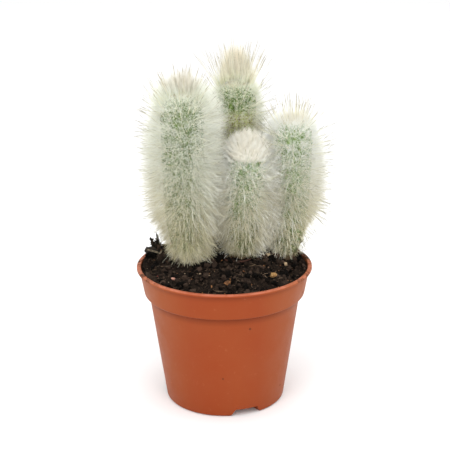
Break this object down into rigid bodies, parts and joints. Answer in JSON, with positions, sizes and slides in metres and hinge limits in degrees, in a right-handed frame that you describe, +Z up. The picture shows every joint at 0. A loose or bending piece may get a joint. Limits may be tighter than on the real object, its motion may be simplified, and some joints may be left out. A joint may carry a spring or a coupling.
{
  "type": "potted columnar cactus",
  "caption": "Potted columnar cactus: ribbed stems under fine pale spines stand in dark potting soil in a terracotta-coloured plastic nursery pot.",
  "frame": {"origin": "centre of the pot's flat floor, on the surface that the pot stands on", "axes": "+Z up along the pot's axis, -Y towards the front as usually shown, +X to the viewer's right"},
  "size_m": [0.1358, 0.1347, 0.2392],
  "materials": {
    "pot_plastic": "satin",
    "potting_soil": "matte",
    "cactus": "matte",
    "bark": "matte",
    "dark_bark": "matte",
    "pale_wood": "matte",
    "straw": "matte"
  },
  "bodies": {
    "root": {"pot": "pot_plastic", "potting_soil": "potting_soil", "tall_left_stem": "cactus", "tall_back_stem": "cactus", "short_front_stem": "cactus", "right_stem": "cactus", "bark_chip_right": "bark", "bark_chip_front": "bark", "bark_lump_left": "dark_bark", "bark_curl": "bark", "wood_bit_middle": "pale_wood", "wood_bit_right": "pale_wood", "pale_flake_left": "pale_wood", "red_flake_left": "bark", "straw_upper": "straw", "straw_crossing": "straw", "straw_long": "straw", "splinter_left_low": "dark_bark", "splinter_left_high": "dark_bark", "splinter_right": "dark_bark"}
  },
  "joints": []
}
